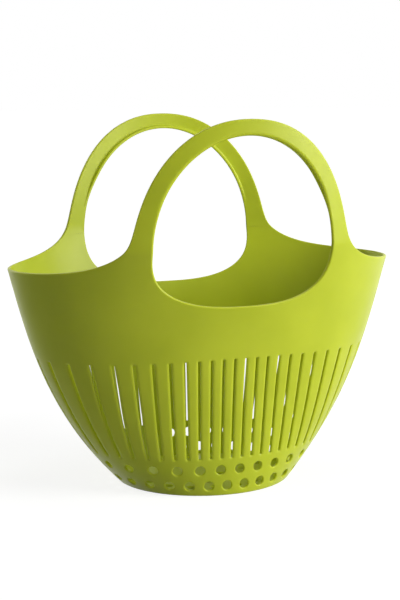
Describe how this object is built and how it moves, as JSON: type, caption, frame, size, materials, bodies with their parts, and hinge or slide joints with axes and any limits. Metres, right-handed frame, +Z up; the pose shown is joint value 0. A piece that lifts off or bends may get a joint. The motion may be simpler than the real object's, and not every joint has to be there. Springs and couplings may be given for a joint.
{
  "type": "harvest basket",
  "caption": "Oval moulded plastic harvest basket with flared ends, a wall drained by round holes and upright slots, and arched carrying handles that flex inwards.",
  "frame": {"origin": "middle of the flat underside, on the surface the basket stands on", "axes": "+X along the basket towards one flared end, +Y towards the rear handle, +Z up"},
  "size_m": [0.36, 0.204, 0.328],
  "materials": {
    "lime_plastic": "satin moulded polypropylene"
  },
  "bodies": {
    "tub": {"floor": "lime_plastic", "tub_wall": "lime_plastic"},
    "front_handle": {"front_handle": "lime_plastic"},
    "rear_handle": {"rear_handle": "lime_plastic"}
  },
  "joints": [
    {"name": "front_handle_flex", "type": "hinge", "parent": "tub", "child": "front_handle", "pos_m": [0, -0.08629, 0.2285], "axis": [-1, 0, 0], "range_deg": [-5, 30], "stiffness_Nm_per_rad": 1.9},
    {"name": "rear_handle_flex", "type": "hinge", "parent": "tub", "child": "rear_handle", "pos_m": [0, 0.08629, 0.2285], "axis": [1, 0, 0], "range_deg": [-5, 30], "stiffness_Nm_per_rad": 1.9}
  ]
}
